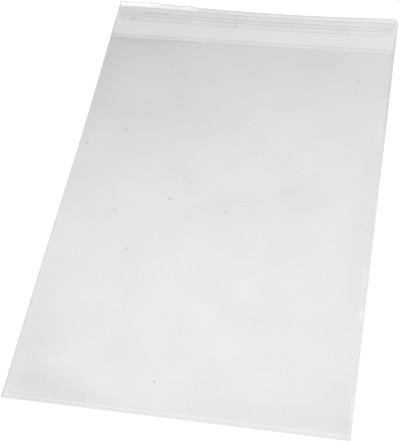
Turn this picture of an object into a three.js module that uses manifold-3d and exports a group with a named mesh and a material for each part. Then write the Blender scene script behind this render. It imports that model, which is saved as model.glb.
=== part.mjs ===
// A clear self-seal cellophane bag lying flat, in millimetres, +Z up.
// The pocket's welded bottom edge is towards -Y and the lip's free edge towards +Y.
import * as THREE from 'three';
import { mergeVertices } from 'three/addons/utils/BufferGeometryUtils.js';
import Module from 'manifold-3d';

// The film and the two panels that it is folded into
const filmGauge = 0.04;
const bagWidth = 220;
const pocketLength = 315;
const lipLength = 31;
const lipCornerRadius = 2;

// The welds: a thin raised bead along each side, a flat pressed band across the bottom
const sideWeldWidth = 1;
const sideWeldHeight = 0.16;
const bottomWeldWidth = 4.2;

// The air between the panels, and how far in from a weld the front panel takes to rise over it
const pocketFullness = 1.5;
const shoulderWidth = 25;
const shoulderSteps = 6;

// The closing strip on the lip: a line of adhesive under a wider release liner
const stripInset = 11;
const adhesiveWidth = 4.2;
const adhesiveGauge = 0.05;
const adhesiveEndInset = 4;
const linerWidth = 13.6;
const linerGauge = 0.04;
const linerEndInset = 2;

// The void is cut this far past the mouth, so that the pocket is open there
const mouthOverrun = 5;
const cornerSegments = 6;

// What follows from these sizes
const totalLength = pocketLength + lipLength;
const bottomY = -totalLength / 2;
const lipY = totalLength / 2;
const bottomWeldHeight = 2 * filmGauge;
const crownHeight = bottomWeldHeight + pocketFullness;
const stripY = lipY - stripInset;

const wasm = await Module();
wasm.setup();

// Turns a closed geometry into a solid that can be joined and cut
function toSolid(geometry) {
  const bare = geometry.clone();
  bare.deleteAttribute('normal');
  bare.deleteAttribute('uv');
  const merged = mergeVertices(bare);
  return new wasm.Manifold(new wasm.Mesh({
    numProp: 3,
    vertProperties: new Float32Array(merged.attributes.position.array),
    triVerts: new Uint32Array(merged.index.array),
  }));
}

// Turns a solid back into a geometry
function toGeometry(solid) {
  const mesh = solid.getMesh();
  const geometry = new THREE.BufferGeometry();
  geometry.setAttribute('position', new THREE.BufferAttribute(mesh.vertProperties, 3));
  geometry.setIndex(new THREE.BufferAttribute(mesh.triVerts, 1));
  return geometry;
}

// Points of a film shoulder that leaves a weld at startHeight and eases into the crown,
// as [distance from the weld, height]
function shoulderPoints(startHeight) {
  const points = [];
  for (let step = 0; step <= shoulderSteps; step += 1) {
    const share = step / shoulderSteps;
    const rise = 1 - (1 - share) ** 2;
    points.push([share * shoulderWidth, startHeight + (crownHeight - startHeight) * rise]);
  }
  return points;
}

// The pocket seen from its mouth: beads at both sides, the front panel over the air between
function widthOutline() {
  const halfWidth = bagWidth / 2;
  const weldInside = halfWidth - sideWeldWidth;
  const shoulder = shoulderPoints(sideWeldHeight);
  const outline = new THREE.Shape();
  outline.moveTo(-halfWidth, 0);
  outline.lineTo(halfWidth, 0);
  outline.lineTo(halfWidth, sideWeldHeight);
  for (const [inwards, height] of shoulder) {
    outline.lineTo(weldInside - inwards, height);
  }
  for (const [inwards, height] of shoulder.toReversed()) {
    outline.lineTo(inwards - weldInside, height);
  }
  outline.lineTo(-halfWidth, sideWeldHeight);
  outline.closePath();
  return outline;
}

// The pocket seen from its side: the bottom band, then the front panel up to endY
function lengthOutline(endY) {
  const weldInside = bottomY + bottomWeldWidth;
  const outline = new THREE.Shape();
  outline.moveTo(bottomY, 0);
  outline.lineTo(endY, 0);
  outline.lineTo(endY, crownHeight);
  for (const [inwards, height] of shoulderPoints(bottomWeldHeight).toReversed()) {
    outline.lineTo(weldInside + inwards, height);
  }
  outline.lineTo(bottomY, bottomWeldHeight);
  outline.closePath();
  return outline;
}

const xAxis = new THREE.Vector3(1, 0, 0);
const yAxis = new THREE.Vector3(0, 1, 0);
const zAxis = new THREE.Vector3(0, 0, 1);

// The space under the front panel from the bottom edge to endY, welds included
function pocketEnvelope(endY) {
  const across = new THREE.ExtrudeGeometry(widthOutline(), {
    depth: endY - bottomY,
    bevelEnabled: false,
  });
  across.applyMatrix4(new THREE.Matrix4().makeBasis(xAxis, zAxis, yAxis.clone().negate()));
  across.translate(0, endY, 0);
  const along = new THREE.ExtrudeGeometry(lengthOutline(endY), {
    depth: bagWidth,
    bevelEnabled: false,
  });
  along.applyMatrix4(new THREE.Matrix4().makeBasis(yAxis, zAxis, xAxis));
  along.translate(-bagWidth / 2, 0, 0);
  return toSolid(across).intersect(toSolid(along));
}

// A flat block between two corners
function block(low, high) {
  const size = new THREE.Vector3().subVectors(high, low);
  const geometry = new THREE.BoxGeometry(size.x, size.y, size.z);
  geometry.translate((low.x + high.x) / 2, (low.y + high.y) / 2, (low.z + high.z) / 2);
  return geometry;
}

// The back panel and the lip, one flat sheet whose free corners are slightly rounded
function backPanel() {
  const halfWidth = bagWidth / 2;
  const outline = new THREE.Shape();
  outline.moveTo(-halfWidth, bottomY);
  outline.lineTo(halfWidth, bottomY);
  outline.lineTo(halfWidth, lipY - lipCornerRadius);
  outline.absarc(halfWidth - lipCornerRadius, lipY - lipCornerRadius,
    lipCornerRadius, 0, Math.PI / 2, false);
  outline.lineTo(lipCornerRadius - halfWidth, lipY);
  outline.absarc(lipCornerRadius - halfWidth, lipY - lipCornerRadius,
    lipCornerRadius, Math.PI / 2, Math.PI, false);
  outline.closePath();
  return new THREE.ExtrudeGeometry(outline, {
    depth: filmGauge,
    bevelEnabled: false,
    curveSegments: cornerSegments,
  });
}

// The whole film: one sheet folded on itself and welded at the sides and the bottom
function bagFilm() {
  const mouthY = bottomY + pocketLength;
  const openEndY = mouthY + mouthOverrun;
  const inner = block(
    new THREE.Vector3(sideWeldWidth - bagWidth / 2, bottomY + bottomWeldWidth, filmGauge),
    new THREE.Vector3(bagWidth / 2 - sideWeldWidth, openEndY, crownHeight),
  );
  const air = pocketEnvelope(openEndY).translate([0, 0, -filmGauge]).intersect(toSolid(inner));
  return toGeometry(toSolid(backPanel()).add(pocketEnvelope(mouthY)).subtract(air));
}

// A flat strip across the lip, on the closing strip's centre line
function lipStrip(width, endInset, lowZ, gauge) {
  return block(
    new THREE.Vector3(endInset - bagWidth / 2, stripY - width / 2, lowZ),
    new THREE.Vector3(bagWidth / 2 - endInset, stripY + width / 2, lowZ + gauge),
  );
}

function clearMaterial(color, roughness, opacity) {
  return new THREE.MeshStandardMaterial({
    color,
    roughness,
    metalness: 0,
    transparent: true,
    opacity,
  });
}

const group = new THREE.Group();

function addPiece(name, geometry, material) {
  const mesh = new THREE.Mesh(geometry, material);
  mesh.name = name;
  group.add(mesh);
}

const linerZ = filmGauge + adhesiveGauge;

addPiece('bag_film', bagFilm(), clearMaterial(0xdfe1e2, 0.06, 0.22));
addPiece('adhesive_strip', lipStrip(adhesiveWidth, adhesiveEndInset, filmGauge, adhesiveGauge),
  clearMaterial(0xd9dad8, 0.3, 0.25));
addPiece('release_liner', lipStrip(linerWidth, linerEndInset, linerZ, linerGauge),
  clearMaterial(0xe2e4e5, 0.1, 0.2));

export default group;
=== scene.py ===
"""A clear self-seal cellophane bag lying flat: lofted film, closing strip, dust and stage."""

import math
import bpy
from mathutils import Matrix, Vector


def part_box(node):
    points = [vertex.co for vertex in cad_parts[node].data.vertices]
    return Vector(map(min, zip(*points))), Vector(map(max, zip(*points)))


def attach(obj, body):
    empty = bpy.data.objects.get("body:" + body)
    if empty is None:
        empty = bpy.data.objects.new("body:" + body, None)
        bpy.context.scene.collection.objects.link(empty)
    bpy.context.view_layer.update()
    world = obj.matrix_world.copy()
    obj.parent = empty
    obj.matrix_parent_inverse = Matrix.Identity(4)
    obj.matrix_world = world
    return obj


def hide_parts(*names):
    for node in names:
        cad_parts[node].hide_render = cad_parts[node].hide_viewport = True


bl_info = {
    "name": "Cellophane Bag",
    "version": (1, 0, 0),
    "blender": (4, 5, 0),
    "location": "3D View > Sidebar > Bag",
    "description": "Builds a clear self-seal film bag, its closing strip and a pale stage",
    "category": "Object",
}

import bpy
import numpy as np
from bpy.props import FloatProperty, FloatVectorProperty, IntProperty, PointerProperty
from mathutils import Quaternion, Vector

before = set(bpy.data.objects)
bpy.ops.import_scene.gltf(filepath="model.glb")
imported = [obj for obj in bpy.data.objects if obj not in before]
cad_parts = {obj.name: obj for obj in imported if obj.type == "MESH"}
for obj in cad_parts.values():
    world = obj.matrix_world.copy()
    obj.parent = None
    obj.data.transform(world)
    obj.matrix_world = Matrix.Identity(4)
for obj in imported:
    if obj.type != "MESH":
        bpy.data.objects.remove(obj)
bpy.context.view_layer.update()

# The frame's own boxes, in metres, from which the bag's outer sizes come
FILM_LOW, FILM_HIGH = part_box("bag_film")
ADHESIVE_LOW, ADHESIVE_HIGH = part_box("adhesive_strip")
LINER_LOW, LINER_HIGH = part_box("release_liner")
MM = 0.001
IMAGE_HEIGHT = 441


def length(label, text, default):
    """A length that a user can set, in metres."""
    return FloatProperty(
        name=label, description=text, default=default, subtype="DISTANCE", unit="LENGTH", precision=5
    )


def angle(label, text, degrees):
    """An angle that a user can set, shown in degrees."""
    return FloatProperty(
        name=label, description=text, default=math.radians(degrees), subtype="ANGLE", unit="ROTATION"
    )


def share(label, text, default):
    """A share from 0 to 1."""
    return FloatProperty(name=label, description=text, default=default, subtype="FACTOR", min=0, max=1)


class BagSizes(bpy.types.PropertyGroup):
    """Sizes of the film, its welds and the way it lies"""

    film_gauge: length("Film Gauge", "Thickness of the film", 0.04 * MM)
    pocket_length: length("Pocket Length", "From the bottom edge to the front's cut edge", 315 * MM)
    left_radius: length("Left Radius", "Rounding of the lip's left free corner", 2 * MM)
    right_radius: length("Right Radius", "Rounding of the lip's right free corner", 4.5 * MM)
    side_weld_width: length("Side Weld Width", "Width of the bead along each side", 1 * MM)
    side_weld_height: length("Side Weld Height", "Height of the bead along each side", 0.16 * MM)
    bottom_weld_width: length("Bottom Weld Width", "Width of the pressed band", 4.2 * MM)
    press_line: length("Press Line", "From the bottom edge to the line in the pressed band", 1.3 * MM)
    slack: length("Slack", "Height of the air between the two panels", 0.25 * MM)
    shoulder: length("Shoulder", "How far in from a weld the front panel rises", 10 * MM)
    mouth_margin: length("Mouth Margin", "Width of the front panel's turned-up margin", 4.2 * MM)
    mouth_lift: length("Mouth Lift", "How far the margin's cut edge stands up", 0.2 * MM)
    side_waist: length("Side Waist", "How far the left side runs inwards at its middle", 0.9 * MM)
    lip_skew: length("Lip Skew", "How far the lip runs out of square at its left end", 2.6 * MM)
    curl_reach: length("Curl Reach", "How much of the lip's margin turns up at its left end", 4.2 * MM)
    curl_angle: angle("Curl Angle", "How far the lip's margin turns up at its left end", 42)
    lift_reach: length("Lift Reach", "How much of the lip rises at its right end", 28 * MM)
    lift_height: length("Lift Height", "Height of the lip's right corner", 0.5 * MM)
    bottom_out: length("Bottom Out", "How far the bottom edge runs out", 0.7 * MM)
    grid_step: length("Grid Step", "Spacing of the film's points in its plain areas", 2.4 * MM)


class ClosingStripSizes(bpy.types.PropertyGroup):
    """Sizes of the adhesive line and its liner"""

    air: length("Air", "Gap that keeps the layers apart", 0.005 * MM)
    # Width of the painted shade line along each cut edge
    edge_width: length("Edge Width", "Width of the line that shows along a cut edge", 0.7 * MM)
    end_fade: length("End Fade", "How far from an end the edge lines fade", 14 * MM)
    grid_step: length("Grid Step", "Spacing of the strip's points", 1.2 * MM)


class FilmLook(bpy.types.PropertyGroup):
    """Clearness and gloss of the film, and the depth of its painted shade and highlights"""

    front_clear: share("Front Clearness", "What one face of the front panel lets through", 0.969)
    # The back panel lets less through than the front: painted shade where it lies on the floor
    back_clear_and_shade: share("Back Clearness", "What one face of the back panel lets through", 0.945)
    liner_clear: share("Liner Clearness", "What one face of the liner lets through", 0.989)
    # Painted shade lines along cut edges, folds and welds
    edge_shade_depth: share("Edge Depth", "What one face holds back at a cut edge", 0.085)
    # Soft marks darken the film as smudges and painted shade, and clear it as painted highlights where
    # they are below 0
    soil_depth: share("Soft Mark Depth", "What one face holds back under a full soft mark", 0.1)
    scuff_depth: share("Scuff Depth", "What one face holds back in a full streak of a scuff", 0.024)
    mirror: share("Mirror", "What one face mirrors when seen head on", 0.05)
    roughness: share("Roughness", "Roughness of the film's gloss", 0.06)
    adhesive_clear: share("Adhesive Clearness", "What one face of the adhesive lets through", 0.995)
    smudge_depth: share("Smudge Depth", "What one face holds back in a full smudge", 0.006)
    adhesive_smudge: share("Adhesive Smudge", "What the adhesive holds back in a smudge", 0.004)
    liner_mirror: share("Liner Mirror", "The liner's share of the film's mirroring", 0.35)
    adhesive_mirror: share("Adhesive Mirror", "The adhesive's share of the film's mirroring", 0.1)
    scuff_roughness: share("Scuff Roughness", "Roughness that a full streak adds", 0.08)
    dust_colour: FloatVectorProperty(
        name="Dust Colour", description="Colour of the dust", subtype="COLOR",
        default=(0.32, 0.31, 0.30)
    )
    seed: IntProperty(name="Seed", description="Seed of the dust's turns", default=3)


class StageLook(bpy.types.PropertyGroup):
    """Camera, floor and light"""

    azimuth: angle("Azimuth", "Camera's turn round the bag", 18.42)
    elevation: angle("Elevation", "Camera's height above the horizon", 54.71)
    roll: angle("Roll", "Camera's turn about its own line of sight", -9.94)
    distance: length("Distance", "From the camera to the point that it looks at", 0.7777)
    target: FloatVectorProperty(
        name="Target", description="Point that the camera looks at", subtype="XYZ", unit="LENGTH",
        default=(-8.4 * MM, -26.1 * MM, 0)
    )
    focal_pixels: FloatProperty(
        name="Focal Pixels", description="Focal length in pixels", default=1135
    )
    floor_size: length("Floor Size", "Side of the floor", 30)
    floor_colour: FloatVectorProperty(
        name="Floor Colour", description="Colour of the floor", subtype="COLOR",
        default=(0.9, 0.9, 0.9)
    )
    floor_white: share("Floor White", "Light that brings the seen floor to white", 0.14)
    lamp_power: FloatProperty(
        name="Lamp Power", description="Power of the soft lamp", default=8.0, unit="POWER"
    )
    lamp_size: length("Lamp Size", "Side of the soft lamp", 0.9)
    lamp_place: FloatVectorProperty(
        name="Lamp Place", description="Middle of the soft lamp, which faces the bag", subtype="XYZ",
        unit="LENGTH", default=(-0.4, -0.9, 1.3)
    )


# Shapes


def smooth_step(start, end, value):
    """Eases from 0 at start to 1 at end."""
    part = np.clip((value - start) / (end - start), 0, 1)
    return part * part * (3 - 2 * part)


def line_mask(distance, width):
    """1 on a line and 0 from width away."""
    return np.clip(1 - np.abs(distance) / width, 0, 1)


def graded(start, end, fine, coarse, growth=1.5):
    """Positions from start to end, close together at both ends and wider between."""
    half = (end - start) / 2
    gaps = []
    gap = fine
    while sum(gaps) < half:
        gaps.append(gap)
        gap = min(gap * growth, coarse)
    near = start + np.cumsum([0, *gaps]) * half / sum(gaps)
    far = start + end - near[-2::-1]
    return np.concatenate([near, far])


def graded_between(stops, fine, coarse):
    """Graded positions through several stops, with each stop's place in the list."""
    positions = np.array(stops[:1], float)
    places = [0]
    for start, end in zip(stops, stops[1:]):
        positions = np.concatenate([positions, graded(start, end, fine, coarse)[1:]])
        places.append(len(positions) - 1)
    return positions, places


def quads(index, upward):
    """Faces of a grid of point numbers whose rows run along +Y and columns along +X."""
    corners = [index[:-1, :-1], index[:-1, 1:], index[1:, 1:], index[1:, :-1]]
    faces = np.stack(corners, axis=-1).reshape(-1, 4)
    return (faces if upward else faces[:, ::-1]).tolist()


def wall(low, high, turned):
    """Faces between two lines of point numbers, one above the other."""
    faces = np.stack([low[:-1], low[1:], high[1:], high[:-1]], axis=-1)
    return (faces[:, ::-1] if turned else faces).tolist()


# Spacing of points along welds and cut edges, on the lip, and along a strip's edges
FINE_STEP = 0.15 * MM
LIP_STEP = 0.8 * MM
STRIP_FINE_STEP = 0.2 * MM

# Faces that meet at more than this angle have a sharp rim between them
SHARP_ANGLE = math.radians(35)

# Number of straight parts that the curl's arc is summed from
CURL_PARTS = 24

# Share of the curl's reach over which it turns
CURL_BEND = 0.6

# Where the lip's margin curls, across from the middle
LONG_CURL_FULL = -84 * MM
LONG_CURL_END = -58 * MM
SHORT_CURL = -54 * MM
SHORT_CURL_HALF = 8 * MM

# How the lip runs out of square: places across from the middle, and shares of the full skew
SKEW_LEFT_START = -5 * MM
SKEW_LEFT_FULL = -95 * MM
SKEW_RIGHT_START = 60 * MM
SKEW_RIGHT_FULL = 110 * MM
SKEW_RIGHT_SHARE = 0.2
SKEW_BASE = 0.22
SKEW_DIP = 40 * MM
SKEW_DIP_HALF = 45 * MM
SKEW_DIP_SHARE = 0.35
SKEW_EARLY = 0.6

# Where the left side draws in and where the bottom edge starts to run out, along the bag
WAIST = 215 * MM
WAIST_HALF = 80 * MM
BOTTOM_OUT_START = 25 * MM

# Soft marks: smudges and painted shade that darken the film, and painted highlights, most along the
# right weld, that clear it.
# Across from the middle, along from the bottom edge, half width, half length in millimetres, and
# depth, which is below 0 where the film is clearer
SMUDGE_SHADE_AND_GLINT_MARKS = (
    (-94, 11, 15, 11, 0.4), (-74, 11, 20, 10, 0.42), (-52, 7, 24, 5, 0.35),
    (-101, 32, 16, 26, 0.36), (-70, 52, 40, 30, 0.12), (-45, 28, 30, 18, 0.12),
    (48, 176.5, 4.5, 4, 0.3), (48.5, 169, 3.5, 4, 0.2), (66.4, 303, 5, 3, 0.2),
    (86, 277, 3, 9, 0.15), (-35, 190.5, 3, 3, 0.2), (-29.8, 185.7, 3, 3, 0.2),
    (-24.7, 181.8, 3, 3, 0.22), (-20, 179.6, 3, 3, 0.15), (60, 10, 55, 7, 0.12),
    (105.3, 10, 2.2, 10, 0.22), (10, 20, 60, 40, 0.06), (102, 150, 10, 100, 0.14),
    (-40, 234, 34, 20, 0.2), (-104, 270, 9, 40, 0.06), (-85, 308, 28, 4.5, 0.3),
    (-104, 336, 5, 6, 0.25), (-82, 335.5, 14, 2, 0.3), (-54, 331, 3, 1.2, 0.3),
    (-78, 322.5, 9, 2, 0.12), (108.6, 22, 0.9, 8, -0.2), (107.6, 86, 1, 5, -0.25),
    (6, 76, 7, 22, -0.03), (30, 95, 14, 8, -0.03),
)

# Where the front panel is scuffed, in the same form
SCUFFS = ((10, 169, 34, 11, 1.0), (22, 146, 14, 8, 0.8))


def soft_marks(across, along, marks):
    """Summed depth of soft marks at places on the film."""
    depth = np.zeros(np.shape(across))
    for middle, place, half_width, half_length, amount in marks:
        away = ((across / MM - middle) / half_width) ** 2 + ((along / MM - place) / half_length) ** 2
        depth = depth + amount * np.exp(-away)
    return depth


class LaidSheet:
    """The surface that the back panel and the lip lie on, and what lies on them"""

    def __init__(self, sizes):
        self.sizes = sizes
        self.half_width = FILM_HIGH.x
        self.bottom_y = FILM_LOW.y
        self.total = FILM_HIGH.y - FILM_LOW.y

    def lip_edge(self, across):
        """How far along the sheet its free edge is, with the rounded corners."""
        radius = np.where(across < 0, self.sizes.left_radius, self.sizes.right_radius)
        past = np.clip(np.abs(across) - (self.half_width - radius), 0, radius)
        return self.total - radius + np.sqrt(radius**2 - past**2)

    def curl_amount(self, across):
        """How much of the full curl the lip's margin has: a long stretch, then a short one."""
        long_stretch = smooth_step(LONG_CURL_END, LONG_CURL_FULL, across)
        short_stretch = smooth_step(0, 1, line_mask(across - SHORT_CURL, SHORT_CURL_HALF))
        return np.maximum(long_stretch, short_stretch)

    def skew_amount(self, across):
        """Share of the skew: most at the left end, less at the right end and least between them."""
        left = smooth_step(SKEW_LEFT_START, SKEW_LEFT_FULL, across)
        right = smooth_step(SKEW_RIGHT_START, SKEW_RIGHT_FULL, across)
        dip = np.exp(-((across - SKEW_DIP) / SKEW_DIP_HALF) ** 2)
        return SKEW_BASE + left + SKEW_RIGHT_SHARE * right - SKEW_DIP_SHARE * dip

    def place(self, across, along, height):
        """Points at a height above the sheet, given by their way across and along it."""
        sizes = self.sizes
        lip = np.clip((along - sizes.pocket_length) / (self.total - sizes.pocket_length), 0, 1)
        skew = sizes.lip_skew * self.skew_amount(across) * lip * (1 + SKEW_EARLY * (1 - lip))
        waist = sizes.side_waist * np.exp(-((along - WAIST) / WAIST_HALF) ** 2)
        inwards = waist * np.clip(-across / self.half_width, 0, 1) ** 2

        # The margin turns up quickly at first and then runs straight
        curled = self.curl_amount(across)
        bend = CURL_BEND * sizes.curl_reach
        past = np.maximum(along - (self.total - sizes.curl_reach), 0)
        parts = (np.arange(CURL_PARTS) + 0.5) / CURL_PARTS
        eased = smooth_step(0, bend, past[..., None] * parts)
        turns = sizes.curl_angle * curled[..., None] * eased
        turn = sizes.curl_angle * curled * smooth_step(0, bend, past)
        up = past * np.sin(turns).mean(axis=-1)
        out = sizes.bottom_out * smooth_step(BOTTOM_OUT_START, 0, along)
        forward = along + skew - out - past + past * np.cos(turns).mean(axis=-1)

        # The right end of the lip rises a little
        lifted = smooth_step(0, self.half_width, across)
        risen = np.maximum(along - (self.total - sizes.lift_reach), 0) / sizes.lift_reach
        up = up + sizes.lift_height * lifted * risen**2
        turn = turn + np.arctan(2 * sizes.lift_height * lifted * risen / sizes.lift_reach)
        return np.stack([
            across + inwards,
            self.bottom_y + forward - height * np.sin(turn),
            up + height * np.cos(turn),
        ], axis=-1)


# Shares of the slack that the front panel's rise and its waves take
REST_SHARE = 0.5
WAVE_SHARE = 0.06

# Strength of the painted shade lines along edges, folds and welds, and how much some of them gain
# towards the left
THIN_LINE = 0.5 * MM
SIDE_LINE_WIDTH = 0.9 * MM
FREE_EDGE_WIDTH = 0.8 * MM
FREE_EDGE_LINE = 2
MOUTH_LINE = 0.7
FOOT_LINE = 0.6
FOOT_GAIN = 0.4
BAND_LINE = 0.22
BAND_GAIN = 0.13
PRESSED_LINE = 0.6
FAINT_SIDE = 0.3
FAINT_BELOW = 190 * MM
FULL_ABOVE = 250 * MM

# How much darker the pressed band and the bare part of the lip are, and how much more towards the left
BAND_DARKENING = 0.6
BAND_DARKENING_GAIN = 0.12
LIP_DARKENING = 0.26
LIP_DARKENING_GAIN = 0.06


class FilmShell:
    """The folded and welded film as one closed shell"""

    def __init__(self, sizes):
        self.sizes = sizes
        self.sheet = LaidSheet(sizes)
        self.points = []
        self.edge_line = []
        # back_panel marks the faces that take the back panel's painted shade
        self.back_panel = []
        self.soil = []
        self.scuff = []
        self.faces = []
        self.count = 0

    def add_points(self, points, edge_line, back_panel, soil=0.0, scuff=0.0):
        """Keeps a grid of points and returns their numbers."""
        shape = points.shape[:-1]
        added = int(np.prod(shape))
        self.points.append(points.reshape(-1, 3))
        self.edge_line.append(np.broadcast_to(edge_line, shape).reshape(-1))
        self.back_panel.append(np.full(added, float(back_panel)))
        self.soil.append(np.broadcast_to(soil, shape).reshape(-1))
        self.scuff.append(np.broadcast_to(scuff, shape).reshape(-1))
        numbers = np.arange(self.count, self.count + added).reshape(shape)
        self.count += added
        return numbers

    def air_gap(self, across, along):
        """Height of the air under the front panel."""
        sizes = self.sizes
        from_side = self.sheet.half_width - sizes.side_weld_width - np.abs(across)
        from_bottom = along - sizes.bottom_weld_width
        rise = smooth_step(0, sizes.shoulder, from_side) * smooth_step(0, sizes.shoulder, from_bottom)

        # Slow waves that cross each other, each length a wavelength over tau
        crossed = np.sin(across / (11 * MM) - along / (14 * MM) + 0.6)
        waves = (
            np.sin(across / (19 * MM) + along / (47 * MM))
            + np.sin(along / (23 * MM) - across / (61 * MM) + 1.7)
            + crossed * np.sin(along / (37 * MM) + across / (29 * MM))
        )
        foot = sizes.pocket_length - sizes.mouth_margin
        turned = np.clip((along - foot) / sizes.mouth_margin, 0, 1)
        mouth = sizes.mouth_lift * turned * smooth_step(0, sizes.mouth_margin, from_side)
        return sizes.slack * rise * (REST_SHARE + WAVE_SHARE * waves) + mouth

    def weld_height(self, across):
        """Height of the film's top where the two panels are fused."""
        sizes = self.sizes
        band = 2 * sizes.film_gauge
        from_edge = self.sheet.half_width - np.abs(across)
        part = np.clip(from_edge / sizes.side_weld_width, 0, 1)
        bead = sizes.side_weld_height * np.sqrt(np.clip(4 * part * (1 - part), 0, 1))
        return np.maximum(band, bead)

    def build(self):
        """Makes every point and face of the shell."""
        sizes = self.sizes
        sheet = self.sheet
        half = sheet.half_width
        weld_x = half - sizes.side_weld_width
        foot = sizes.pocket_length - sizes.mouth_margin
        curl_start = sheet.total - sizes.curl_reach
        columns, (_, left, right, _) = graded_between(
            [-half, -weld_x, weld_x, half], FINE_STEP, sizes.grid_step
        )
        lower, places = graded_between(
            [0, sizes.press_line, sizes.bottom_weld_width, foot, sizes.pocket_length],
            FINE_STEP, sizes.grid_step
        )
        upper, _ = graded_between([sizes.pocket_length, curl_start, sheet.total], FINE_STEP, LIP_STEP)
        rows = np.concatenate([lower, upper[1:]])
        weld = places[2]
        mouth = places[4]
        across, along = np.meshgrid(columns, rows)

        # The lip's last rows follow its rounded corners
        straight = sheet.total - 2 * max(sizes.left_radius, sizes.right_radius)
        squeeze = (sheet.lip_edge(across) - straight) / (sheet.total - straight)
        along = np.where(along > straight, straight + (along - straight) * squeeze, along)

        gauge = sizes.film_gauge
        gap = self.air_gap(across, along)
        fused = self.weld_height(across)
        inside = np.zeros(across.shape, bool)
        inside[weld:, left:right + 1] = True
        front_top = np.where(inside, gauge + gap + gauge, fused)

        # Painted shade lines along the edges, folds and welds; the right side's line fades towards the
        # bottom
        leftness = -across / half
        growing = FAINT_SIDE + (1 - FAINT_SIDE) * smooth_step(FAINT_BELOW, FULL_ABOVE, along)
        strength = np.where(across > 0, growing, 1.0)
        bead_middle = sizes.side_weld_width / 2
        sides = strength * line_mask(half - np.abs(across) - bead_middle, SIDE_LINE_WIDTH)
        free_edge = FREE_EDGE_LINE * line_mask(sheet.lip_edge(across) - along, FREE_EDGE_WIDTH)
        back_edges = np.maximum(free_edge, sides)
        band_edge = along - sizes.bottom_weld_width
        front_edges = np.maximum.reduce([
            sides,
            MOUTH_LINE * line_mask(along - sizes.pocket_length, THIN_LINE),
            (FOOT_LINE + FOOT_GAIN * leftness) * line_mask(along - foot, THIN_LINE),
            (BAND_LINE + BAND_GAIN * leftness) * line_mask(band_edge, THIN_LINE),
            PRESSED_LINE * line_mask(along - sizes.press_line, THIN_LINE),
            line_mask(along, THIN_LINE),
        ])

        # Soft marks with their smudges, painted shade and painted highlights, and the darkening of the
        # pressed band and of the lip below the liner
        band = np.where(band_edge <= 0, BAND_DARKENING + BAND_DARKENING_GAIN * leftness, 0.0)
        bare_lip = (along > sizes.pocket_length) & (along < LINER_LOW.y - sheet.bottom_y)
        lip_dark = np.where(bare_lip, LIP_DARKENING + LIP_DARKENING_GAIN * leftness, 0.0)
        soil = soft_marks(across, along, SMUDGE_SHADE_AND_GLINT_MARKS) + band + lip_dark
        scuff = soft_marks(across, along, SCUFFS)
        # Only the painted highlights reach the underside and the inner faces, so that they clear the
        # film right through
        painted_glint = np.minimum(soil, 0)

        # Four skins: the underside, the front's outside, the back's inside with the lip
        # and the front's inside
        under = self.add_points(sheet.place(across, along, 0.0), back_edges, True, painted_glint)
        front = self.add_points(
            sheet.place(across, along, front_top)[:mouth + 1], front_edges[:mouth + 1], False,
            soil[:mouth + 1], scuff[:mouth + 1]
        )
        back_inside = np.full(across.shape, -1)
        back_points = sheet.place(across, along, gauge)
        back_inside[mouth:] = self.add_points(
            back_points[mouth:], back_edges[mouth:], True, soil[mouth:]
        )
        pocket = (slice(weld, mouth), slice(left, right + 1))
        back_inside[pocket] = self.add_points(back_points[pocket], 0.0, True, painted_glint[pocket])
        front_inside = back_inside[:mouth + 1].copy()
        free = (slice(weld + 1, mouth + 1), slice(left + 1, right))
        front_inside[free] = self.add_points(
            sheet.place(across, along, gauge + gap)[free], front_edges[free], False, painted_glint[free]
        )

        self.faces += quads(under, upward=False)
        self.faces += quads(front, upward=True)
        self.faces += quads(back_inside[mouth:], upward=True)
        self.faces += quads(back_inside[weld:mouth + 1, left:right + 1], upward=True)
        self.faces += quads(front_inside[weld:, left:right + 1], upward=False)
        self.faces += wall(under[0], front[0], turned=False)
        self.faces += wall(under[-1], back_inside[-1], turned=True)
        mouth_foot = np.concatenate([
            back_inside[mouth, :left],
            front_inside[mouth, left:right + 1],
            back_inside[mouth, right + 1:],
        ])
        self.faces += wall(mouth_foot, front[mouth], turned=True)
        for column, turned in ((0, True), (-1, False)):
            self.faces += wall(under[:mouth, column], front[:mouth, column], turned)
            self.faces += wall(under[mouth:, column], back_inside[mouth:, column], turned)
            corner = [
                under[mouth - 1, column], under[mouth, column], back_inside[mouth, column],
                front[mouth, column], front[mouth - 1, column],
            ]
            self.faces.append([int(number) for number in (corner[::-1] if turned else corner)])


# Strength of the painted shade lines along a strip's edges, what is left of them at its ends, the
# lines across its ends and the painted shade at its right end
STRIP_LINE = 0.9
STRIP_END_SHARE = 0.3
STRIP_END_LINE = 0.12
STRIP_RIGHT_SHADE = 0.15


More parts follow.
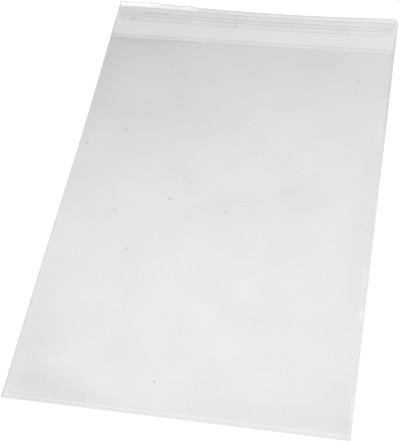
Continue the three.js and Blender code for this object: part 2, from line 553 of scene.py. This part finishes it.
def strip_shell(sheet, low, high, lift, sizes):
    """A thin slab on the lip between two corners of a box: points, faces and its painted edge shade.
    """
    start = low.y - sheet.bottom_y
    end = high.y - sheet.bottom_y
    gauge = high.z - low.z - 2 * sizes.air
    columns = graded(low.x, high.x, STRIP_FINE_STEP, 2 * sizes.grid_step)
    rows = graded(start, end, STRIP_FINE_STEP, sizes.grid_step)
    across, along = np.meshgrid(columns, rows)
    from_end = np.minimum(across - low.x, high.x - across)
    fading = STRIP_END_SHARE + (1 - STRIP_END_SHARE) * smooth_step(0, sizes.end_fade, from_end)
    edges = np.maximum.reduce([
        STRIP_LINE * fading * line_mask(along - start, sizes.edge_width),
        STRIP_LINE * fading * line_mask(along - end, sizes.edge_width),
        STRIP_END_LINE * line_mask(from_end, sizes.edge_width),
        STRIP_RIGHT_SHADE * smooth_step(high.x - sizes.end_fade, high.x, across),
    ])
    bottom = sheet.place(across, along, lift)
    top = sheet.place(across, along, lift + gauge)
    under = np.arange(across.size).reshape(across.shape)
    over = under + across.size
    faces = quads(under, upward=False) + quads(over, upward=True)
    faces += wall(under[0], over[0], turned=False)
    faces += wall(under[-1], over[-1], turned=True)
    faces += wall(under[:, 0], over[:, 0], turned=True)
    faces += wall(under[:, -1], over[:, -1], turned=False)
    points = np.concatenate([bottom.reshape(-1, 3), top.reshape(-1, 3)])
    return points, faces, np.concatenate([edges.reshape(-1)] * 2)


def add_mesh(name, points, faces, material, **attributes):
    """A smooth object with sharp rims, and a number for each point under each attribute's name."""
    mesh = bpy.data.meshes.new(name)
    mesh.from_pydata(points.tolist(), [], faces)
    mesh.validate()
    mesh.shade_smooth()
    mesh.set_sharp_from_angle(angle=SHARP_ANGLE)
    for label, values in attributes.items():
        layer = mesh.attributes.new(label, "FLOAT", "POINT")
        layer.data.foreach_set("value", np.asarray(values, np.float32))
    mesh.materials.append(material)
    piece = bpy.data.objects.new(name, mesh)
    bpy.context.scene.collection.objects.link(piece)
    return piece


# Materials


def add_node(tree, kind, place, **values):
    """A node with some of its inputs set by name or linked from another node's socket."""
    node = tree.nodes.new(kind)
    node.location = (place[0] * 220, place[1] * -180)
    for label, value in values.items():
        socket = node.inputs[label.replace("_", " ")]
        if isinstance(value, bpy.types.NodeSocket):
            tree.links.new(value, socket)
        else:
            socket.default_value = value
    return node


def maths(tree, operation, place, first, second):
    """A Math node's result."""
    node = tree.nodes.new("ShaderNodeMath")
    node.operation = operation
    node.location = (place[0] * 220, place[1] * -180)
    for socket, value in zip(node.inputs, (first, second)):
        if isinstance(value, bpy.types.NodeSocket):
            tree.links.new(value, socket)
        else:
            socket.default_value = value
    return node.outputs[0]


def handling_marks():
    """Node group: soft smudges and fine drawn streaks, as masks from 0 to 1."""
    tree = bpy.data.node_groups.get("handling_marks")
    if tree:
        return tree
    tree = bpy.data.node_groups.new("handling_marks", "ShaderNodeTree")
    tree.interface.new_socket("Vector", in_out="INPUT", socket_type="NodeSocketVector")
    for label, default in (("Smudge Scale", 26.0), ("Streak Scale", 420.0)):
        socket = tree.interface.new_socket(label, in_out="INPUT", socket_type="NodeSocketFloat")
        socket.default_value = default
    for label in ("Smudge", "Streak"):
        tree.interface.new_socket(label, in_out="OUTPUT", socket_type="NodeSocketFloat")
    inside = tree.nodes.new("NodeGroupInput")
    inside.location = (-660, 0)
    result = tree.nodes.new("NodeGroupOutput")
    result.location = (660, 0)
    smudge = add_node(
        tree, "ShaderNodeTexNoise", (-1, 0), Vector=inside.outputs["Vector"],
        Scale=inside.outputs["Smudge Scale"], Detail=3.0, Roughness=0.55
    )
    drawn = add_node(tree, "ShaderNodeMapping", (-2, 1), Vector=inside.outputs["Vector"])
    drawn.vector_type = "TEXTURE"
    drawn.inputs["Rotation"].default_value = (0, 0, math.radians(6))
    drawn.inputs["Scale"].default_value = (14.0, 1.0, 1.0)
    streak = add_node(
        tree, "ShaderNodeTexNoise", (-1, 1), Vector=drawn.outputs["Vector"],
        Scale=inside.outputs["Streak Scale"], Detail=2.0, Roughness=0.5
    )
    for row, (label, node, low, high) in enumerate(
        (("Smudge", smudge, 0.35, 0.7), ("Streak", streak, 0.5, 0.7))
    ):
        spread = add_node(tree, "ShaderNodeMapRange", (1, row), Value=node.outputs["Fac"])
        spread.inputs["From Min"].default_value = low
        spread.inputs["From Max"].default_value = high
        tree.links.new(spread.outputs["Result"], result.inputs[label])
    return tree


def grey(value):
    """A neutral colour."""
    return (value, value, value, 1.0)


def blend_colours(tree, place, factor, first, second):
    """A Mix node's colour."""
    node = tree.nodes.new("ShaderNodeMix")
    node.data_type = "RGBA"
    node.location = (place[0] * 220, place[1] * -180)
    sockets = (node.inputs[0], node.inputs[6], node.inputs[7])
    for socket, value in zip(sockets, (factor, first, second)):
        if isinstance(value, bpy.types.NodeSocket):
            tree.links.new(value, socket)
        else:
            socket.default_value = value
    return node.outputs[2]


def clear_material(name, look, clear, back_clear_and_shade, smudge_depth, mirror_scale=1.0):
    """Clear film: lets the light straight through, less where shade is painted, and mirrors a share
    that grows towards grazing.
    """
    material = bpy.data.materials.new(name)
    material.use_nodes = True
    tree = material.node_tree
    tree.nodes.clear()
    place = add_node(tree, "ShaderNodeTexCoord", (-6, 0))
    marks = add_node(tree, "ShaderNodeGroup", (-5, 0))
    marks.node_tree = handling_marks()
    tree.links.new(place.outputs["Object"], marks.inputs["Vector"])
    edge = add_node(tree, "ShaderNodeAttribute", (-5, 1))
    edge.attribute_name = "edge_line"
    back = add_node(tree, "ShaderNodeAttribute", (-5, 2))
    back.attribute_name = "back_panel"
    soil = add_node(tree, "ShaderNodeAttribute", (-5, 3))
    soil.attribute_name = "soil"
    scuff = add_node(tree, "ShaderNodeAttribute", (-5, 4))
    scuff.attribute_name = "scuff"
    drawn = maths(tree, "MULTIPLY", (-4, 3), marks.outputs["Streak"], scuff.outputs["Fac"])
    # Faces marked back_panel take the back clearness, which holds the painted shade of the floor
    # contact
    step = maths(tree, "MULTIPLY", (-4, 2), back.outputs["Fac"], back_clear_and_shade - clear)
    tint = maths(tree, "ADD", (-3, 2), step, clear)
    # Each face holds back smudges, scuff streaks, painted edge shade and the soft marks' painted
    # shade, and lets more through at painted highlights
    held_back = (
        (marks.outputs["Smudge"], smudge_depth), (drawn, look.scuff_depth),
        (edge.outputs["Fac"], look.edge_shade_depth), (soil.outputs["Fac"], look.soil_depth),
    )
    for row, (mask, depth) in enumerate(held_back):
        loss = maths(tree, "MULTIPLY", (row - 3, 4), mask, depth)
        tint = maths(tree, "SUBTRACT", (row - 2, 2), tint, loss)
        tint.node.use_clamp = True
    through = add_node(tree, "ShaderNodeBsdfTransparent", (0, 0), Color=tint)
    rough = maths(tree, "MULTIPLY", (-3, 3), drawn, look.scuff_roughness)
    rough = maths(tree, "ADD", (-2, 3), rough, look.roughness)
    gloss = add_node(tree, "ShaderNodeBsdfGlossy", (0, 1), Roughness=rough)
    gloss.inputs["Color"].default_value = grey(1.0)
    facing = add_node(tree, "ShaderNodeLayerWeight", (-3, -1), Blend=0.5)
    grazing = maths(tree, "POWER", (-2, -1), facing.outputs["Facing"], 5.0)
    mirror = look.mirror * mirror_scale
    growing = maths(tree, "MULTIPLY", (-1, -1), grazing, mirror_scale - mirror)
    clean = maths(tree, "ADD", (0, -1), growing, mirror)
    # Where shade lines are painted, the film mirrors less
    plain = maths(tree, "SUBTRACT", (0, -2), 1.0, edge.outputs["Fac"])
    plain.node.use_clamp = True
    mirrored = maths(tree, "MULTIPLY", (1, -1), clean, plain)
    mixed = tree.nodes.new("ShaderNodeMixShader")
    mixed.location = (220, 0)
    tree.links.new(mirrored, mixed.inputs[0])
    tree.links.new(through.outputs[0], mixed.inputs[1])
    tree.links.new(gloss.outputs[0], mixed.inputs[2])
    result = add_node(tree, "ShaderNodeOutputMaterial", (2, 0))
    tree.links.new(mixed.outputs[0], result.inputs["Surface"])
    return material


def dust_material(look):
    """Dull grey flecks that differ a little from each other."""
    material = bpy.data.materials.new("grey_dust")
    material.use_nodes = True
    tree = material.node_tree
    surface = tree.nodes["Principled BSDF"]
    place = add_node(tree, "ShaderNodeTexCoord", (-4, 0))
    tone = add_node(tree, "ShaderNodeTexNoise", (-3, 0), Vector=place.outputs["Object"], Scale=90.0)
    dark = (*look.dust_colour, 1.0)
    pale = (*(1.4 * part for part in look.dust_colour), 1.0)
    colour = blend_colours(tree, (-2, 0), tone.outputs["Fac"], dark, pale)
    tree.links.new(colour, surface.inputs["Base Color"])
    surface.inputs["Roughness"].default_value = 0.8
    return material


# Pieces

# Places of the dust on the front panel and the lip: across from the middle, along from the bottom
# edge, and each fleck's size, in millimetres
DUST = (
    (-77.7, 220.2, 1.2), (-104.0, 206.3, 0.9), (-32.5, 162.6, 1.02), (-68.9, 148.4, 0.9),
    (8.3, 156.0, 1.02), (-54.4, 118.3, 0.92), (-80.8, 33.6, 0.85), (-15.2, 22.8, 0.9),
    (85.8, 282.7, 0.85), (86.3, 270.1, 0.75), (66.4, 304.8, 0.4), (35.3, 52.6, 0.75),
    (64.1, 51.9, 0.7), (98.7, 33.5, 0.7), (-13.2, 330.0, 1.15), (-14.6, 325.0, 0.85),
    (-96.9, 330.5, 0.9), (-95.5, 330.5, 1.1), (-94.1, 330.7, 0.8),
)


# Length, width and height of a fleck of size 1
FLECK_SHAPE = (1.75, 1.05, 0.1)


def film_top(sizes, across, along):
    """The highest film surface at a place on the bag."""
    shell = FilmShell(sizes)
    across = np.array(across, float)
    along = np.array(along, float)
    gap = shell.air_gap(across, along)
    double = np.where(along < sizes.pocket_length, gap + sizes.film_gauge, 0)
    from_middle = np.abs(along + shell.sheet.bottom_y - (LINER_LOW.y + LINER_HIGH.y) / 2)
    on_liner = from_middle < (LINER_HIGH.y - LINER_LOW.y) / 2
    height = np.where(on_liner, LINER_HIGH.z, sizes.film_gauge + double)
    return shell.sheet.place(across, along, height)


def dust_tree():
    """Geometry Nodes: a flat fleck on each point, turned at random and sized by the point."""
    tree = bpy.data.node_groups.new("dust_on_points", "GeometryNodeTree")
    tree.interface.new_socket("Geometry", in_out="INPUT", socket_type="NodeSocketGeometry")
    tree.interface.new_socket("Seed", in_out="INPUT", socket_type="NodeSocketInt")
    tree.interface.new_socket("Material", in_out="INPUT", socket_type="NodeSocketMaterial")
    tree.interface.new_socket("Geometry", in_out="OUTPUT", socket_type="NodeSocketGeometry")
    inside = tree.nodes.new("NodeGroupInput")
    result = tree.nodes.new("NodeGroupOutput")
    fleck = tree.nodes.new("GeometryNodeMeshIcoSphere")
    fleck.inputs["Radius"].default_value = 0.5
    fleck.inputs["Subdivisions"].default_value = 2
    flat = tree.nodes.new("GeometryNodeTransform")
    flat.inputs["Scale"].default_value = FLECK_SHAPE
    size = tree.nodes.new("GeometryNodeInputNamedAttribute")
    size.data_type = "FLOAT"
    size.inputs["Name"].default_value = "fleck_size"
    turn = tree.nodes.new("FunctionNodeRandomValue")
    turn.data_type = "FLOAT_VECTOR"
    turn.inputs["Max"].default_value = (0, 0, math.tau)
    spread = tree.nodes.new("GeometryNodeInstanceOnPoints")
    real = tree.nodes.new("GeometryNodeRealizeInstances")
    paint = tree.nodes.new("GeometryNodeSetMaterial")
    link = tree.links.new
    link(inside.outputs["Geometry"], spread.inputs["Points"])
    link(fleck.outputs["Mesh"], flat.inputs["Geometry"])
    link(flat.outputs["Geometry"], spread.inputs["Instance"])
    link(size.outputs["Attribute"], spread.inputs["Scale"])
    link(inside.outputs["Seed"], turn.inputs["Seed"])
    link(turn.outputs["Value"], spread.inputs["Rotation"])
    link(spread.outputs["Instances"], real.inputs["Geometry"])
    link(real.outputs["Geometry"], paint.inputs["Geometry"])
    link(inside.outputs["Material"], paint.inputs["Material"])
    link(paint.outputs["Geometry"], result.inputs["Geometry"])
    return tree


def settings():
    """The four groups of values that the pieces are made from."""
    scene = bpy.context.scene
    return scene.bag_sizes, scene.bag_strip, scene.bag_look, scene.bag_stage


class BAG_OT_film(bpy.types.Operator):
    """Make the folded and welded film as one shell"""

    bl_idname = "bag.film"
    bl_label = "Film"

    def execute(self, context):
        sizes, _, look, _ = settings()
        shell = FilmShell(sizes)
        shell.build()
        material = clear_material(
            "clear_film", look, look.front_clear, look.back_clear_and_shade, look.smudge_depth
        )
        piece = add_mesh(
            "film_bag", np.concatenate(shell.points), shell.faces, material,
            edge_line=np.concatenate(shell.edge_line), back_panel=np.concatenate(shell.back_panel),
            soil=np.concatenate(shell.soil), scuff=np.concatenate(shell.scuff)
        )
        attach(piece, "root")
        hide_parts("bag_film")
        return {"FINISHED"}


class BAG_OT_adhesive(bpy.types.Operator):
    """Lay the line of adhesive on the lip"""

    bl_idname = "bag.adhesive"
    bl_label = "Adhesive"

    def execute(self, context):
        sizes, strip, look, _ = settings()
        points, faces, edges = strip_shell(
            LaidSheet(sizes), ADHESIVE_LOW, ADHESIVE_HIGH, sizes.film_gauge + strip.air, strip
        )
        clear = look.adhesive_clear
        material = clear_material(
            "clear_adhesive", look, clear, clear, look.adhesive_smudge, look.adhesive_mirror
        )
        piece = add_mesh("adhesive_line", points, faces, material, edge_line=edges)
        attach(piece, "root")
        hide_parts("adhesive_strip")
        return {"FINISHED"}


class BAG_OT_liner(bpy.types.Operator):
    """Lay the release liner over the adhesive"""

    bl_idname = "bag.liner"
    bl_label = "Liner"

    def execute(self, context):
        sizes, strip, look, _ = settings()
        lift = LINER_LOW.z + strip.air
        points, faces, edges = strip_shell(LaidSheet(sizes), LINER_LOW, LINER_HIGH, lift, strip)
        clear = look.liner_clear
        material = clear_material(
            "clear_liner", look, clear, clear, look.smudge_depth, look.liner_mirror
        )
        piece = add_mesh("liner_strip", points, faces, material, edge_line=edges)
        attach(piece, "root")
        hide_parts("release_liner")
        return {"FINISHED"}


class BAG_OT_dust(bpy.types.Operator):
    """Drop the flecks of dust on the film"""

    bl_idname = "bag.dust"
    bl_label = "Dust"

    def execute(self, context):
        sizes, _, look, _ = settings()
        across, along, fleck_sizes = (np.array(values) * MM for values in zip(*DUST))
        mesh = bpy.data.meshes.new("dust_points")
        mesh.from_pydata(film_top(sizes, across, along).tolist(), [], [])
        layer = mesh.attributes.new("fleck_size", "FLOAT", "POINT")
        layer.data.foreach_set("value", fleck_sizes.astype(np.float32))
        piece = bpy.data.objects.new("dust_flecks", mesh)
        context.scene.collection.objects.link(piece)
        tree = dust_tree()
        material = dust_material(look)
        modifier = piece.modifiers.new("dust", "NODES")
        modifier.node_group = tree
        sockets = {item.name: item.identifier for item in tree.interface.items_tree}
        modifier[sockets["Seed"]] = look.seed
        modifier[sockets["Material"]] = material
        evaluated = piece.evaluated_get(context.evaluated_depsgraph_get())
        made = bpy.data.meshes.new_from_object(evaluated)
        if not made.polygons:
            raise RuntimeError("the dust has no faces")
        made.materials.clear()
        made.materials.append(material)
        piece.modifiers.clear()
        piece.data = made
        bpy.data.meshes.remove(mesh)
        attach(piece, "root")
        return {"FINISHED"}


class BAG_OT_stage(bpy.types.Operator):
    """Set the camera, the floor and the light"""

    bl_idname = "bag.stage"
    bl_label = "Stage"

    def execute(self, context):
        look = settings()[3]
        make_camera(context.scene, look)
        make_floor(context.scene, look)
        make_lamp(context.scene, look)
        make_world(context.scene)
        context.scene.view_settings.view_transform = "Standard"
        context.scene.cycles.transparent_max_bounces = 32
        return {"FINISHED"}


def make_camera(scene, look):
    """The camera, turned about its line of sight as the photographer held it."""
    data = bpy.data.cameras.new("camera")
    data.sensor_width = 36
    data.lens = look.focal_pixels / IMAGE_HEIGHT * data.sensor_width
    data.clip_start = 0.01
    data.clip_end = 100
    camera = bpy.data.objects.new("camera", data)
    scene.collection.objects.link(camera)
    back = Vector((
        math.sin(look.azimuth) * math.cos(look.elevation),
        -math.cos(look.azimuth) * math.cos(look.elevation),
        math.sin(look.elevation),
    ))
    camera.rotation_mode = "QUATERNION"
    upright = (-back).to_track_quat("-Z", "Y")
    camera.rotation_quaternion = upright @ Quaternion((0, 0, 1), look.roll)
    camera.location = Vector(look.target) + back * look.distance
    scene.camera = camera


def make_floor(scene, look):
    """A pale floor that reads as white and keeps the shadow."""
    half = look.floor_size / 2
    low = -0.1 * MM
    mesh = bpy.data.meshes.new("floor")
    corners = [(-half, -half, low), (half, -half, low), (half, half, low), (-half, half, low)]
    mesh.from_pydata(corners, [], [(0, 1, 2, 3)])
    floor = bpy.data.objects.new("floor", mesh)
    scene.collection.objects.link(floor)
    material = bpy.data.materials.new("pale_floor")
    material.use_nodes = True
    tree = material.node_tree
    tree.nodes.clear()
    seen = add_node(tree, "ShaderNodeLightPath", (-3, 0))
    either = maths(
        tree, "MAXIMUM", (-2, 0), seen.outputs["Is Camera Ray"], seen.outputs["Is Glossy Ray"]
    )
    either = maths(tree, "MAXIMUM", (-1, 0), either, seen.outputs["Is Transmission Ray"])
    strength = maths(tree, "MULTIPLY", (0, 0), either, look.floor_white)
    glow = add_node(tree, "ShaderNodeEmission", (1, 0), Strength=strength)
    matt = add_node(tree, "ShaderNodeBsdfDiffuse", (1, 1), Color=(*look.floor_colour, 1.0))
    both = tree.nodes.new("ShaderNodeAddShader")
    tree.links.new(glow.outputs[0], both.inputs[0])
    tree.links.new(matt.outputs[0], both.inputs[1])
    result = add_node(tree, "ShaderNodeOutputMaterial", (3, 0))
    tree.links.new(both.outputs[0], result.inputs["Surface"])
    mesh.materials.append(material)


def make_lamp(scene, look):
    """A soft square lamp that faces the bag from the photographer's side."""
    data = bpy.data.lights.new("softbox", "AREA")
    data.shape = "SQUARE"
    data.size = look.lamp_size
    data.energy = look.lamp_power
    lamp = bpy.data.objects.new("softbox", data)
    lamp.location = look.lamp_place
    lamp.rotation_euler = (-Vector(look.lamp_place)).to_track_quat("-Z", "Y").to_euler()
    scene.collection.objects.link(lamp)


# Brightness of the room: the sine of the elevation that a line of sight points at, then light
ROOM_LIGHT = (
    (0.000, 1.00), (0.250, 1.00), (0.450, 0.05), (0.671, 0.12), (0.691, 0.30), (0.701, 0.53),
    (0.716, 0.67), (0.731, 0.79), (0.746, 0.95), (0.761, 1.14), (0.776, 1.26), (0.791, 1.30),
    (0.811, 1.42), (0.836, 1.53), (0.861, 1.60), (0.881, 1.54), (0.901, 1.42), (0.930, 1.30),
    (1.000, 1.20),
)


# How much the room's bands of light lean to the right
ROOM_LEAN = 0.11


def make_world(scene):
    """A room with a white horizon, a darker band above it and a bright soft ceiling."""
    strongest = max(light for _, light in ROOM_LIGHT)
    world = bpy.data.worlds.new("room")
    world.use_nodes = True
    tree = world.node_tree
    tree.nodes.clear()
    place = add_node(tree, "ShaderNodeTexCoord", (-5, 0))
    parts = add_node(tree, "ShaderNodeSeparateXYZ", (-4, 0), Vector=place.outputs["Generated"])
    leaning = maths(tree, "MULTIPLY", (-3, 1), parts.outputs["X"], ROOM_LEAN)
    height = maths(tree, "ADD", (-2, 0), parts.outputs["Z"], leaning)
    ramp = add_node(tree, "ShaderNodeValToRGB", (-1, 0), Fac=height)
    stops = ramp.color_ramp.elements
    stops.remove(stops[1])
    for number, (position, light) in enumerate(ROOM_LIGHT):
        stop = stops[0] if number == 0 else stops.new(position)
        stop.position = position
        stop.color = grey(light / strongest)
    sky = add_node(
        tree, "ShaderNodeBackground", (1, 0), Color=ramp.outputs["Color"], Strength=strongest
    )
    result = add_node(tree, "ShaderNodeOutputWorld", (2, 0))
    tree.links.new(sky.outputs[0], result.inputs["Surface"])
    scene.world = world


class BAG_PT_panel(bpy.types.Panel):
    """Lists the bag's values and the operators that make it"""

    bl_idname = "BAG_PT_panel"
    bl_label = "Cellophane Bag"
    bl_space_type = "VIEW_3D"
    bl_region_type = "UI"
    bl_category = "Bag"

    def draw(self, context):
        for group in settings():
            box = self.layout.box()
            for label in group.__annotations__:
                box.prop(group, label)
        for operator in OPERATORS:
            self.layout.operator(operator.bl_idname)


GROUPS = {
    "bag_sizes": BagSizes,
    "bag_strip": ClosingStripSizes,
    "bag_look": FilmLook,
    "bag_stage": StageLook,
}
OPERATORS = (BAG_OT_stage, BAG_OT_film, BAG_OT_adhesive, BAG_OT_liner, BAG_OT_dust)


def register():
    for kind in (*GROUPS.values(), *OPERATORS, BAG_PT_panel):
        bpy.utils.register_class(kind)
    for label, group in GROUPS.items():
        setattr(bpy.types.Scene, label, PointerProperty(type=group))


def unregister():
    for label in GROUPS:
        delattr(bpy.types.Scene, label)
    for kind in (BAG_PT_panel, *reversed(OPERATORS), *GROUPS.values()):
        bpy.utils.unregister_class(kind)


def main():
    register()
    bpy.ops.bag.stage()
    bpy.ops.bag.film()
    bpy.ops.bag.adhesive()
    bpy.ops.bag.liner()
    bpy.ops.bag.dust()


if __name__ == "__main__":
    main()
